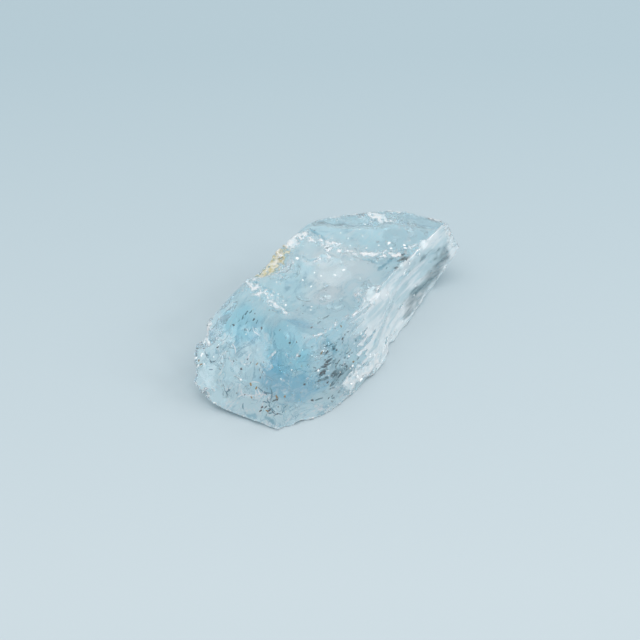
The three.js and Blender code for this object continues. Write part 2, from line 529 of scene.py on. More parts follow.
def new_material(name):
    """A new material, as (material, tree, surface shader, place on the object)."""
    material = bpy.data.materials.new(name)
    material.use_nodes = True
    tree = Tree(material.node_tree)
    place = tree.add("ShaderNodeTexCoord", output=3)
    return material, tree, material.node_tree.nodes["Principled BSDF"], place


def deselect():
    for thing in bpy.context.selected_objects:
        thing.select_set(False)


def take(thing):
    """Makes one object the only selected one, and the active one."""
    deselect()
    thing.select_set(True)
    bpy.context.view_layer.objects.active = thing
    return thing


def add_mesh(name, mesh):
    """A new thing in the scene that holds the mesh."""
    thing = bpy.data.objects.new(name, mesh)
    bpy.context.scene.collection.objects.link(thing)
    return thing


def apply_modifier(thing, kind, name, **settings):
    take(thing)
    modifier = thing.modifiers.new(name, kind)
    for key, value in settings.items():
        setattr(modifier, key, value)
    bpy.ops.object.modifier_apply(modifier=name)


def settle(thing):
    """Puts a thing's place, turn and scale into its mesh."""
    take(thing)
    bpy.ops.object.transform_apply(location=True, rotation=True, scale=True)


def join(things, name):
    """Joins things into the first one, under a new name."""
    deselect()
    for thing in things:
        thing.select_set(True)
    bpy.context.view_layer.objects.active = things[0]
    bpy.ops.object.join()
    joined = bpy.context.view_layer.objects.active
    joined.name = name
    joined.data.name = name
    settle(joined)
    return joined


def copies_of(templates, poses, name):
    """One mesh of template copies. Each pose is a matrix."""
    made = []
    for index, pose in enumerate(poses):
        template = templates[index % len(templates)]
        copy = template.copy()
        copy.data = template.data.copy()
        bpy.context.scene.collection.objects.link(copy)
        copy.matrix_world = pose
        made.append(copy)
    return join(made, name)


def smooth_faces(thing):
    take(thing)
    bpy.ops.object.shade_smooth()


def hand_in(piece, material):
    """Gives a piece its material, and says which body it belongs to."""
    piece.data.materials.clear()
    piece.data.materials.append(material)
    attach(piece, BODY)
    deselect()


# The stone.


def copy_of_solid():
    """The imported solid's shape, as one closed mesh of its own."""
    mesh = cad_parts[CAD_NODE].data.copy()
    mesh.materials.clear()
    stone = add_mesh(STONE, mesh)
    take(stone)
    bpy.ops.object.mode_set(mode="EDIT")
    bpy.ops.mesh.select_all(action="SELECT")
    bpy.ops.mesh.remove_doubles(threshold=1e-6)
    bpy.ops.mesh.normals_make_consistent(inside=False)
    bpy.ops.object.mode_set(mode="OBJECT")
    return stone


def sharp_edges(stone, least):
    """The edges that turn by at least that angle, as (start, end, direction that the edge points out)."""
    shape = bmesh.new()
    shape.from_mesh(stone.data)
    found = []
    for edge in shape.edges:
        if len(edge.link_faces) == 2 and edge.calc_face_angle_signed(0) > least:
            out = (edge.link_faces[0].normal + edge.link_faces[1].normal).normalized()
            found.append((edge.verts[0].co.copy(), edge.verts[1].co.copy(), out))
    shape.free()
    return found


def facing_pose(at, out, along, roll, sizes):
    """A matrix: its third axis points out and its first lies along, and then it rolls about the first."""
    third = out.normalized()
    second = third.cross(along).normalized()
    turn = Matrix((second.cross(third), second, third)).transposed().to_4x4()
    return Matrix.Translation(at) @ turn @ Matrix.Rotation(roll, 4, "X") @ Matrix.Diagonal((*sizes, 1.0))


def chip_edges(stone, count, deepest):
    """Breaks small shell-shaped flakes off the sharp edges."""
    edges = sharp_edges(stone, SHARP_TURN)
    lengths = [(end - start).length for start, end, _ in edges]
    chance = random.Random(31)
    deselect()
    bpy.ops.mesh.primitive_ico_sphere_add(subdivisions=3, radius=1.0)
    ball = bpy.context.active_object
    poses = []
    for start, end, out in chance.choices(edges, lengths, k=count):
        along = (end - start).normalized()
        at = start.lerp(end, chance.random())
        depth = deepest * chance.uniform(0.25, 1.0) ** 1.5
        radius = chance.uniform(0.7, 2.4) * MM
        lean = Vector([chance.uniform(-0.45, 0.45) for axis in range(3)])
        side = (out + lean).normalized()
        radii = (radius * chance.uniform(0.9, 1.6), radius * chance.uniform(0.7, 1.1), radius)
        poses.append(facing_pose(at + side * (radius - depth), side, along, 0.0, radii))
    cutter = copies_of([ball], poses, "edge_chips")
    bpy.data.objects.remove(ball)
    apply_modifier(stone, "BOOLEAN", "chips", operation="DIFFERENCE", solver="MANIFOLD", object=cutter)
    bpy.data.objects.remove(cutter)


def surface_nodes(settings):
    """Geometry nodes that give the breaks their waves, ribs and hackles, and name where each finish lies."""
    tree, way_in, way_out = geometry_tree("stone_surface")
    normal = tree.add("GeometryNodeInputNormal")
    broad_normal = tree.blurred(normal, 8)
    facing = tree.parts(broad_normal)
    flatness = tree.number("DOT_PRODUCT", normal, tree.blurred(normal, 4))
    place = tree.blurred(tree.add("GeometryNodeInputPosition"), 40, tree.fade(flatness, 0.975, 0.996))
    rise = tree.parts(place)[2]

    flank_side = tree.fade(facing[1], -0.45, -0.85)
    blunt_side = tree.fade(facing[0], -0.25, -0.6)
    in_dishes = tree.fade(rise, *(height * MM for height in DISH_RISE))
    dish = tree.times(in_dishes, tree.fade(facing[2], 0.75, 0.9))
    milk = tree.fade(facing[2], -0.4, -0.7)

    ragged = tree.noise(place, 0.9 * MM, detail=3.0, roughness=0.6)
    round_crumbs = tree.noise(place, 0.42 * MM, detail=4.0, roughness=0.7)
    long_crumbs = tree.streaks(place, 1.2, 0.24, 3.0, 0.6)
    crumbs = tree.between(flank_side, round_crumbs, long_crumbs)

    wavy = tree.wandering(place, 1.6 * MM, 1.4 * MM)
    bands = tree.times(tree.near_paths(wavy, FROSTED_BANDS), 0.85)
    bands = tree.times_plus(ragged, 0.7, bands)
    bands = tree.fade(tree.times_plus(crumbs, 1.6, bands), 0.55, 0.95)
    worn_edges = tree.times_plus(ragged, 0.5, tree.fade(flatness, 0.985, 0.93))
    worn_edges = tree.fade(tree.times_plus(crumbs, 0.6, worn_edges), 0.80, 1.15)
    frost = tree.math("MAXIMUM", bands, worn_edges)
    fingers = tree.streaks(place, 3.0, 0.6)
    far_part = tree.fade(tree.parts(place)[0], *(along * MM for along in HAZE_START))
    far_part = tree.times_plus(fingers, 1.2, far_part)
    haze = tree.times(tree.fade(facing[1], -0.3, -0.6), far_part)

    # Painted dark reflections: dark streaks along the flank, from this noise and the bands.
    reflection_patches = tree.streaks(place, 2.2, 0.8)
    smoky = tree.times_plus(reflection_patches, 1.3, tree.near_paths(wavy, PAINTED_DARK_REFLECTIONS))
    # Creases: real grooves that also carry painted shade.
    crease = tree.times_plus(crumbs, 0.6, tree.near_paths(wavy, SHADED_CREASES))
    stain = tree.times_plus(crumbs, 1.5, tree.near_paths(place, STAIN_BANDS))
    drifts = tree.noise(place, 2.6 * MM, detail=3.0, twist=0.6)
    deep = tree.times_plus(drifts, 0.7, tree.near_points(place, DEEP_ZONES))

    height = tree.times(tree.noise(place, 4.6 * MM, detail=1.5), settings.wave_height)
    lumpy = tree.fade(rise, *(fall * MM for fall in LUMP_FALL), 0.35, 0.9)
    lumps = tree.times(tree.noise(place, 1.3 * MM), lumpy)
    height = tree.times_plus(lumps, settings.lump_height, height)
    ribs = tree.streaks(place, 7.5, 0.9, detail=1.5)
    height = tree.times_plus(tree.times(ribs, flank_side), settings.rib_height, height)
    hackles = tree.times(tree.noise(place, 0.6 * MM, roughness=0.6), frost)
    height = tree.times_plus(hackles, settings.hackle_height, height)

    moved = tree.parts(tree.vector("ADD", place, tree.scaled(broad_normal, height)))
    above_ground = tree.math("MAXIMUM", moved[2], 0.0)
    finishes = {
        "frost": frost, "haze": haze, "milk": milk,
        "dish": dish, "flank_side": flank_side, "blunt_side": blunt_side,
        "deep": tree.fade(deep, 0.10, 0.75), "smoky": tree.fade(smoky, 0.35, 1.5),
        "crease": tree.fade(crease, 0.35, 0.85), "stain": tree.fade(stain, 0.35, 0.95),
    }
    geometry = way_in
    for name, field in finishes.items():
        store = tree.add("GeometryNodeStoreNamedAttribute", data_type="FLOAT", domain="POINT").node
        tree.feed_all(store, {"Geometry": geometry, "Name": name, "Value": field})
        geometry = store.outputs[0]
    shift = tree.add("GeometryNodeSetPosition", geometry).node
    tree.feed(shift.inputs["Position"], tree.add("ShaderNodeCombineXYZ", moved[0], moved[1], above_ground))
    tree.feed(way_out, shift.outputs[0])
    return tree.tree


def finish(tree, name):
    """How strong a finish is, as the stone's surface holds it."""
    return tree.add("ShaderNodeAttribute", attribute_name=name, output=2)


def crack_lines(tree, place, below_dishes):
    """Thin dark cracks that reach the surface: winding ones, and long ones on the flank."""
    patches = tree.fade(tree.noise(place, 3.6 * MM), -0.15, 0.25)
    winding = tree.times(tree.lines(place, 2.0 * MM, 0.045, 1.4), patches)
    along_flank = tree.stretched(place, 6.5, 1.7, 1.7)
    long_ones = tree.times(tree.lines(along_flank, 1.0, 0.02, 0.6), finish(tree, "flank_side"))
    return tree.times(tree.math("MAXIMUM", winding, long_ones), below_dishes)


def stone_colour(tree, settings, cracks):
    """The tint of the clear surface, with the tint of each finish laid over the one before. Two finishes are
    painted light: dark streaks that stand in for reflections, and shade along the creases.
    """
    colour = tree.blend(finish(tree, "dish"), settings.body_tint, settings.dish_tint)
    colour = tree.blend(finish(tree, "blunt_side"), colour, settings.blunt_tint)
    colour = tree.blend(finish(tree, "deep"), colour, settings.deep_tint)
    colour = tree.blend(tree.times(cracks, 0.8), colour, settings.crack_and_shade_tint)
    # The first two tints are painted light: dark reflections, and shade along the creases.
    tints = (("smoky", settings.painted_reflection_tint), ("crease", settings.crack_and_shade_tint), ("frost", (0.97, 0.99, 1.0)))
    for name, tint in tints:
        colour = tree.blend(tree.times(finish(tree, name), 0.85), colour, tint)
    return tree.blend(finish(tree, "stain"), colour, settings.stain_tint)


def stone_material(settings):
    """Clear beryl: glossy breaks, frosted bands, a blue zone, an iron stain, painted dark reflections on the
    flank and painted shade along the creases.
    """
    material, tree, surface, place = new_material("clear_beryl")
    below_dishes = tree.fade(tree.parts(place)[2], *(fall * MM for fall in CRACK_FALL))
    cracks = crack_lines(tree, place, below_dishes)
    tree.feed(surface.inputs["Base Color"], stone_colour(tree, settings, cracks))

    blotches = tree.fade(tree.noise(place, 2.2 * MM, detail=3.0, roughness=0.6), -0.1, 0.7)
    rough = tree.times_plus(blotches, 0.06, 0.02)
    for name, amount in (("dish", 0.14), ("flank_side", 0.12), ("frost", 0.42), ("stain", 0.2)):
        rough = tree.times_plus(finish(tree, name), amount, rough)
    tree.feed(surface.inputs["Roughness"], tree.math("MINIMUM", rough, 1.0))
    tree.feed_all(surface, {
        "IOR": settings.refraction, "Coat Weight": 0.5, "Coat Roughness": 0.03, "Transmission Weight": 0.92,
    })

    grain = tree.noise(place, 0.16 * MM, detail=3.0, roughness=0.7)
    fine_ribs = tree.streaks(place, 5.0, 0.5, detail=1.0)
    skin = tree.noise(place, 0.5 * MM, detail=3.0)
    height = tree.times(grain, tree.times_plus(finish(tree, "frost"), 0.022, 0.0006))
    fine_ribs = tree.times(fine_ribs, finish(tree, "flank_side"))
    height = tree.times_plus(fine_ribs, 0.005, height)
    height = tree.times_plus(skin, tree.times_plus(below_dishes, 0.004, 0.003), height)
    height = tree.times_plus(cracks, -0.03, height)
    height = tree.times_plus(finish(tree, "crease"), -0.06, height)
    bump = tree.add("ShaderNodeBump").node
    tree.feed_all(bump, {"Distance": MM, "Height": height})
    tree.feed(surface.inputs["Normal"], bump.outputs[0])

    water = tree.add("ShaderNodeVolumeAbsorption").node
    tree.feed_all(water, {"Color": (*settings.water_tint, 1.0), "Density": settings.water_density})
    tree.feed(material.node_tree.nodes["Material Output"].inputs["Volume"], water.outputs[0])
    return material


def let_light_in(clear_piece):
    """Lets the lamps' and the sky's light reach what lies behind a clear piece."""
    clear_piece.visible_shadow = False
    clear_piece.visible_diffuse = False


class AQUAMARINE_OT_crystal(bpy.types.Operator):
    """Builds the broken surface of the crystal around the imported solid"""

    bl_idname = "aquamarine.crystal"
    bl_label = "Crystal surface"

    def execute(self, context):
        settings = context.scene.aquamarine_stone
        stone = copy_of_solid()
        chip_edges(stone, settings.chip_count, settings.chip_depth)
        solid = add_mesh("solid", stone.data.copy())
        apply_modifier(stone, "REMESH", "grain", mode="VOXEL", voxel_size=settings.grain, adaptivity=0.0)
        apply_modifier(stone, "SHRINKWRAP", "fit", wrap_method="NEAREST_SURFACEPOINT", target=solid)
        bpy.data.objects.remove(solid)
        apply_modifier(stone, "SMOOTH", "wear", factor=0.5, iterations=2)
        apply_modifier(stone, "NODES", "surface", node_group=surface_nodes(settings))
        smooth_faces(stone)
        let_light_in(stone)
        hand_in(stone, stone_material(settings))
        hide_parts(CAD_NODE)
        return {"FINISHED"}


# What lies in the stone.


class Inside:
    """Finds places under the stone's surface."""

    def __init__(self, stone):
        self.tree = BVHTree.FromObject(stone, bpy.context.evaluated_depsgraph_get())

    def depth(self, point):
        near, normal, _, distance = self.tree.find_nearest(point)
        return distance if (point - near).dot(normal) < 0 else -distance

    def sunk(self, point, least):
        """The point, or if that is less deep than asked for, one under it that is."""
        if self.depth(point) >= least:
            return point
        near, normal, _, _ = self.tree.find_nearest(point)
        return near - normal * least

    def spots(self, clusters, chance):
        """For each thing of the clusters, the place of its middle, the way the surface faces, its length.

        The things of a cluster that is 0 deep lie half in the surface. All stay clear of the ground.
        """
        for _, middle, spread, deepest, count, shortest, longest in clusters:
            placed = 0
            while placed < count:
                length = (shortest + (longest - shortest) * chance.random() ** 2) * MM
                least = COVER * MM + 0.35 * length if deepest else 0.0
                about = middle + Vector([chance.gauss(0, spread * MM) for axis in range(3)])
                near, normal, _, _ = self.tree.find_nearest(about)
                at = near - normal * chance.uniform(least, max(least, deepest * MM))
                if at.z > length and (not deepest or self.depth(at) > least * 0.8):
                    yield at, normal, length
                    placed += 1


def scattered(clusters, inside, shape, seed):
    """Poses for the things of the clusters. shape gives a thing's (direction, roll, sizes)."""
    chance = random.Random(seed)
    poses = []
    for at, normal, length in inside.spots(clusters, chance):
        poses.append(facing_pose(at, normal, *shape(chance, length)))
    return poses


def any_way(chance):
    return Vector([chance.gauss(0, 1) for axis in range(3)]).normalized()


def speck_shape(chance, length):
    sizes = (length, length * chance.uniform(0.35, 0.8), length * 0.4)
    along = Vector((1.0, chance.uniform(-0.8, 0.8), chance.uniform(-0.8, 0.8)))
    return along, chance.uniform(0, math.tau), sizes


def dot_shape(chance, length):
    return any_way(chance), 0.0, (length, length * chance.uniform(0.5, 0.9), length * 0.5)


def flake_shape(chance, length):
    return any_way(chance), chance.uniform(-0.7, 0.7), (length, length * 0.6, length * 0.18)


def reflection_sheet_shape(chance, length):
    """The dark sheets run along the crystal."""
    along = Vector((1.0, chance.uniform(-0.3, 0.3), chance.uniform(-0.5, 0.5)))
    return along, chance.uniform(-0.6, 0.6), (length, length * chance.uniform(0.12, 0.35), length * 0.5)


def sheet_shape(chance, length):
    return any_way(chance), chance.uniform(-0.8, 0.8), (length, length * chance.uniform(0.4, 0.9), length)


def ragged_lump(name, seed, fineness=2, cuts=5):
    """A small crystal-like lump, one unit wide: a ball cut by a few flat faces."""
    chance = random.Random(seed)
    deselect()
    bpy.ops.mesh.primitive_ico_sphere_add(subdivisions=fineness, radius=0.5)
    lump = bpy.context.active_object
    lump.name = name
    bpy.ops.object.mode_set(mode="EDIT")
    for cut in range(cuts):
        bpy.ops.mesh.select_all(action="SELECT")
        normal = any_way(chance)
        bpy.ops.mesh.bisect(
            plane_co=normal * chance.uniform(0.24, 0.38), plane_no=normal, use_fill=True, clear_outer=True,
        )
    bpy.ops.object.mode_set(mode="OBJECT")
    return lump


def crack_sheet(name, seed, fineness=11):
    """A thin curved sheet one unit wide, with a ragged outline."""
    deselect()
    bpy.ops.mesh.primitive_grid_add(x_subdivisions=fineness, y_subdivisions=fineness, size=1.0)
    sheet = bpy.context.active_object
    sheet.name = name
    tree, way_in, way_out = geometry_tree(name)
    place = tree.add("GeometryNodeInputPosition")
    shifted = tree.vector("ADD", place, (seed * 3.7, seed * 1.3, 0.0))
    reach = tree.number("LENGTH", place)
    parts = tree.parts(place)
    widest = tree.math("MAXIMUM", tree.math("ABSOLUTE", parts[0]), tree.math("ABSOLUTE", parts[1]))
    rounding = tree.math("DIVIDE", widest, tree.math("MAXIMUM", reach, 1e-6))
    ragged = tree.times_plus(tree.noise(shifted, 0.45), 0.45, 0.85)
    flat = tree.scaled(place, tree.times(rounding, ragged))
    bowl = tree.times(tree.times(reach, reach), 0.3)
    rise = tree.times_plus(tree.noise(shifted, 0.9, detail=0.0), 0.08, bowl)
    lifted = tree.vector("ADD", flat, tree.add("ShaderNodeCombineXYZ", 0.0, 0.0, rise))
    shift = tree.add("GeometryNodeSetPosition", way_in).node
    tree.feed(shift.inputs["Position"], lifted)
    tree.feed(way_out, shift.outputs[0])
    apply_modifier(sheet, "NODES", "shape", node_group=tree.tree)
    apply_modifier(sheet, "SOLIDIFY", "thickness", thickness=0.012, offset=0.0)
    return sheet


def plain_material(name, tint, roughness, unevenness, size):
    """An opaque material whose tint varies by noise."""
    material, tree, surface, place = new_material(name)
    darker = tuple(part * (1 - unevenness) for part in tint)
    lighter = tuple(min(1.0, part * (1 + unevenness)) for part in tint)
    share = tree.fade(tree.noise(place, size), -0.6, 0.6)
    tree.feed(surface.inputs["Base Color"], tree.blend(share, darker, lighter))
    surface.inputs["Roughness"].default_value = roughness
    return material


def glass_material(name, tints, transmission, roughness, refraction, drift=0.7):
    """A partly clear material. Its tint drifts between two over so many millimetres."""
    material, tree, surface, place = new_material(name)
    share = tree.streaks(place, drift, drift, 3.0, 0.65)
    tree.feed_all(surface, {
        "Base Color": tree.blend(tree.fade(share, -0.35, 0.35), *tints),
        "Roughness": roughness, "IOR": refraction, "Transmission Weight": transmission,
    })
    return material


def strewn(name, templates, clusters, shape, seed):
    """Joins copies of the templates, strewn in the stone as the clusters say, and removes the templates."""
    inside = Inside(bpy.data.objects[STONE])
    things = copies_of(templates, scattered(clusters, inside, shape, seed), name)
    for template in templates:
        bpy.data.objects.remove(template)
    return things


class AQUAMARINE_OT_dark_specks(bpy.types.Operator):
    """Seals dark mineral specks in the stone"""

    bl_idname = "aquamarine.dark_specks"
    bl_label = "Dark specks"

    def execute(self, context):
        settings = context.scene.aquamarine_inclusions
        lumps = [ragged_lump("lump", seed) for seed in range(4)]
        specks = strewn("dark_specks", lumps, DARK_SPECKS, speck_shape, 5)
        hand_in(specks, plain_material("dark_mineral", settings.speck_tint, 0.35, 0.5, 0.3 * MM))
        return {"FINISHED"}


class AQUAMARINE_OT_dark_reflection_sheets(bpy.types.Operator):
    """Seals dark sheets in the stone, as painted dark reflections"""

    bl_idname = "aquamarine.dark_gaps"
    bl_label = "Dark gaps"

    def execute(self, context):
        settings = context.scene.aquamarine_inclusions
        sheets = [crack_sheet("gap", seed, 9) for seed in (10, 11, 12, 13)]
        reflection_sheets = strewn("dark_gaps", sheets, DARK_REFLECTION_SHEETS, reflection_sheet_shape, 8)
        tints = (settings.reflection_sheet_tint, settings.reflection_sheet_rim_tint)
        hand_in(reflection_sheets, glass_material("painted_dark_reflection", tints, 0.3, 0.3, 1.3))
        return {"FINISHED"}


class AQUAMARINE_OT_sparkles(bpy.types.Operator):
    """Strews small white specks that lie half in the surface, as painted glints"""

    bl_idname = "aquamarine.sparkles"
    bl_label = "White specks"

    def execute(self, context):
        settings = context.scene.aquamarine_inclusions
        lumps = [ragged_lump("lump", seed, 1, 2) for seed in (31, 32, 33)]
        specks = strewn("white_specks", lumps, SPARKLES, dot_shape, 23)
        hand_in(specks, plain_material("painted_glint_white", settings.white_tint, 0.2, 0.05, 0.2 * MM))
        return {"FINISHED"}


class AQUAMARINE_OT_rust_flakes(bpy.types.Operator):
    """Seals small rusty flakes in the stone"""

    bl_idname = "aquamarine.rust_flakes"
    bl_label = "Rusty flakes"

    def execute(self, context):
        settings = context.scene.aquamarine_inclusions
        lumps = [ragged_lump("lump", seed) for seed in (21, 22, 23)]
        flakes = strewn("rust_flakes", lumps, RUST_FLAKES, flake_shape, 12)
        hand_in(flakes, plain_material("rusty_mica", settings.rust_tint, 0.45, 0.5, 0.15 * MM))
        return {"FINISHED"}


class AQUAMARINE_OT_fractures(bpy.types.Operator):
    """Seals thin curved cracks in the stone, which flash where they turn to the light"""

    bl_idname = "aquamarine.fractures"
    bl_label = "Inner cracks"

    def execute(self, context):
        sheets = [crack_sheet("crack", seed) for seed in range(5)]
        cracks = strewn("inner_cracks", sheets, FRACTURES, sheet_shape, 17)
        take(cracks)
        bpy.ops.object.shade_smooth_by_angle(angle=math.radians(50))
        tints = ((0.90, 0.96, 0.98), (1.0, 1.0, 1.0))
        hand_in(cracks, glass_material("crack_film", tints, 1.0, 0.04, 1.9))
        return {"FINISHED"}


def thread(inside, pose, bow, radius):
    """A thread along the pose's first axis that bows to one side and tapers to its ends."""
    deselect()
    bpy.ops.curve.primitive_nurbs_path_add()
    path = bpy.context.active_object
    path.data.bevel_depth = radius
    path.data.bevel_resolution = 1
    path.data.use_fill_caps = True
    points = path.data.splines[0].points
    for index, point in enumerate(points):
        share = index / (len(points) - 1) - 0.5
        fullness = 1.0 - 4.0 * share * share
        place = inside.sunk(pose @ Vector((share, bow * fullness, 0.0)), 2.0 * radius)
        point.co = (*place, 1.0)
        point.radius = max(0.1, fullness)
    bpy.ops.object.convert(target="MESH")
    return path


def bundle(name, clusters, width, seed):
    """Joins the bowed threads of the clusters in one piece."""
    inside = Inside(bpy.data.objects[STONE])
    chance = random.Random(seed)
    made = []
    for at, normal, length in inside.spots(clusters, chance):
        pose = facing_pose(at, normal, any_way(chance), 0.0, (length, length, length))
        made.append(thread(inside, pose, chance.uniform(0.08, 0.3), width / 2))
    threads = join(made, name)
    smooth_faces(threads)
    return threads


class AQUAMARINE_OT_threads(bpy.types.Operator):
    """Seals fine white threads and dark blue curls in the stone"""

    bl_idname = "aquamarine.threads"
    bl_label = "Threads and curls"

    def execute(self, context):
        settings = context.scene.aquamarine_inclusions
        white = bundle("white_threads", WHITE_THREADS, settings.thread_width, 29)
        hand_in(white, plain_material("thread_white", settings.white_tint, 0.3, 0.05, 0.2 * MM))
        dark = bundle("dark_curls", DARK_THREADS, settings.thread_width, 37)
        hand_in(dark, plain_material("dark_curl", settings.curl_tint, 0.4, 0.5, 0.4 * MM))
        return {"FINISHED"}


def grain_nodes(name, template, density, attribute, sizes, sink, seed):
    """Geometry nodes that leave only grains, strewn over a surface where the attribute is high."""
    tree, way_in, way_out = geometry_tree(name)
    mask = tree.add("GeometryNodeInputNamedAttribute", attribute, data_type="FLOAT")
    strew = tree.add("GeometryNodeDistributePointsOnFaces", way_in).node
    tree.feed_all(strew, {"Density": tree.times(mask, density), "Seed": seed})
    lower = tree.add("GeometryNodeSetPosition", strew.outputs["Points"]).node
    tree.feed(lower.inputs["Offset"], tree.scaled(strew.outputs["Normal"], -sink))
    source = tree.add("GeometryNodeObjectInfo").node
    source.inputs["Object"].default_value = template
    random_turn = tree.add("FunctionNodeRandomValue", data_type="FLOAT_VECTOR").node
    tree.feed_all(random_turn, {
        "Min": (-0.5, -0.5, -math.pi), "Max": (0.5, 0.5, math.pi), "Seed": seed + 1,
    })
    turn = tree.add("FunctionNodeRotateRotation", rotation_space="LOCAL").node
    tree.feed_all(turn, {"Rotation": strew.outputs["Rotation"], "Rotate By": random_turn.outputs[0]})
    random_size = tree.add("FunctionNodeRandomValue", data_type="FLOAT").node
    tree.feed(random_size.inputs["Seed"], seed + 2)
    share = tree.math("POWER", random_size.outputs[1], 3.0)
    size = tree.times_plus(share, sizes[1] - sizes[0], sizes[0])
    place = tree.add("GeometryNodeInstanceOnPoints", lower.outputs[0]).node
    tree.feed_all(place, {
        "Instance": source.outputs["Geometry"], "Rotation": turn.outputs[0], "Scale": size,
    })
    tree.feed(way_out, tree.add("GeometryNodeRealizeInstances", place.outputs[0]))
    return tree.tree


def drop_outside(sheet, inside, least_depth):
    """Takes away the faces of a sheet that are not well inside the stone, and marks where droplets lie."""
    take(sheet)
    bpy.ops.object.mode_set(mode="EDIT")
    bpy.ops.mesh.select_all(action="DESELECT")
    bpy.ops.object.mode_set(mode="OBJECT")
    for point in sheet.data.vertices:
        point.select = inside.depth(point.co) < least_depth
    bpy.ops.object.mode_set(mode="EDIT")
    bpy.ops.mesh.delete(type="VERT")
    bpy.ops.object.mode_set(mode="OBJECT")
    mark = sheet.data.attributes.new("veil", "FLOAT", "POINT")
    for point in sheet.data.vertices:
        share = noise.fractal(point.co / (0.9 * MM), 1.0, 2.0, 3)
        mark.data[point.index].value = min(1.0, max(0.0, share * 1.6 + 0.05))


class AQUAMARINE_OT_veils(bpy.types.Operator):
    """Seals healed fractures in the stone: curved layers of tiny white droplets"""

    bl_idname = "aquamarine.veils"
    bl_label = "Veils of droplets"

    def execute(self, context):
        settings = context.scene.aquamarine_inclusions
        inside = Inside(bpy.data.objects[STONE])
        layers = []
        for index, (_, middle, width, facing) in enumerate(VEILS):
            layer = crack_sheet("layer", 20 + index)
            turn = Vector(facing).to_track_quat("Z", "X").to_matrix().to_4x4()
            layer.matrix_world = Matrix.Translation(middle) @ turn @ Matrix.Scale(width * MM, 4)
            layers.append(layer)
        veils = join(layers, "droplet_veils")
        apply_modifier(veils, "SUBSURF", "fine", levels=3, render_levels=3, subdivision_type="SIMPLE")
        drop_outside(veils, inside, 0.3 * MM)
        template = ragged_lump("droplet", 41, 1, 2)
        sizes = (settings.droplet_size * 0.3, settings.droplet_size)
        nodes = grain_nodes("droplets", template, settings.droplet_density, "veil", sizes, 0.0, 7)
        apply_modifier(veils, "NODES", "droplets", node_group=nodes)
        bpy.data.objects.remove(template)
        hand_in(veils, plain_material("droplet_white", settings.white_tint, 0.3, 0.05, 0.2 * MM))
        return {"FINISHED"}


# What lies on the stone.


def milky_material(settings):
    """The crushed underside, which shows through the stone: milky, with blue patches and a white one."""
    material, tree, surface, place = new_material("milky_beryl")
    drifts = tree.noise(place, 3.0 * MM, detail=3.0, roughness=0.55)
    along = tree.stretched(place, 3.0, 1.1, 1.0)
    patches = tree.fade(tree.noise(place, 2.6 * MM), -0.25, 0.2)
    dark_lines = tree.times(tree.lines(along, 1.0, 0.10, 1.5), patches)
    other_place = tree.vector("ADD", along, (5.0, 3.0, 1.0))
    other_patches = tree.fade(tree.noise(place, 2.1 * MM), 0.2, -0.2)
    white_lines = tree.times(tree.lines(other_place, 1.0, 0.09, 1.2), other_patches)

    blue = tree.times_plus(drifts, 0.9, tree.near_points(place, BLUE_POOLS))
    white = tree.times_plus(drifts, -0.6, tree.near_point(place, *WHITE_POOL))
    colour = tree.blend(tree.fade(blue, 0.2, 0.8), settings.milk_tint, settings.pool_tint)
    colour = tree.blend(tree.fade(white, 0.1, 0.9), colour, (0.99, 0.99, 0.98))
    colour = tree.blend(tree.times(dark_lines, 0.75), colour, (0.14, 0.42, 0.54))
    colour = tree.blend(tree.times(white_lines, 0.9), colour, (0.98, 1.0, 1.0))
    tree.feed_all(surface, {"Base Color": colour, "Roughness": 0.35, "Transmission Weight": 0.3})
    return material


def haze_material(settings):
    """The cloudy flank: long pale facets with painted dark reflections by the rim and dark hairlines."""
    material, tree, surface, place = new_material("hazy_beryl")
    facets = tree.streaks(place, 4.5, 1.0, detail=1.0)
    grain = tree.streaks(place, 3.0, 0.4, 3.0, 0.6)
    share = tree.fade(tree.times_plus(grain, 0.5, facets), -0.25, 0.25)
    colour = tree.blend(share, settings.haze_tint, (1.0, 1.0, 1.0))
    hairlines = tree.lines(tree.stretched(place, 5.0, 0.9, 0.9), 1.0, 0.03, 0.6)
    colour = tree.blend(tree.times(hairlines, 0.5), colour, settings.crack_and_shade_tint)
    # Painted dark reflections, laid over the haze by the rim.
    reflection_patches = tree.times(finish(tree, "smoky"), tree.fade(grain, -0.5, 0.3, 0.25, 0.8))
    colour = tree.blend(reflection_patches, colour, settings.painted_reflection_tint)
    tree.feed_all(surface, {"Base Color": colour, "Roughness": 0.26, "Transmission Weight": 0.65})
    return material


def skin_of(stone, name, attribute, least, thickness, outward=1.0):
    """A thin closed skin where an attribute is at least so much, outside the stone or just inside it."""
    skin = add_mesh(name, stone.data.copy())
    tree, way_in, way_out = geometry_tree(name)
    mask = tree.add("GeometryNodeInputNamedAttribute", attribute, data_type="FLOAT")
    bare = tree.math("LESS_THAN", mask, least)
    tree.feed(way_out, tree.add("GeometryNodeDeleteGeometry", way_in, bare, domain="POINT"))
    apply_modifier(skin, "NODES", "cut", node_group=tree.tree)
    apply_modifier(skin, "SOLIDIFY", "thickness", thickness=thickness, offset=outward)
    smooth_faces(skin)
    return skin


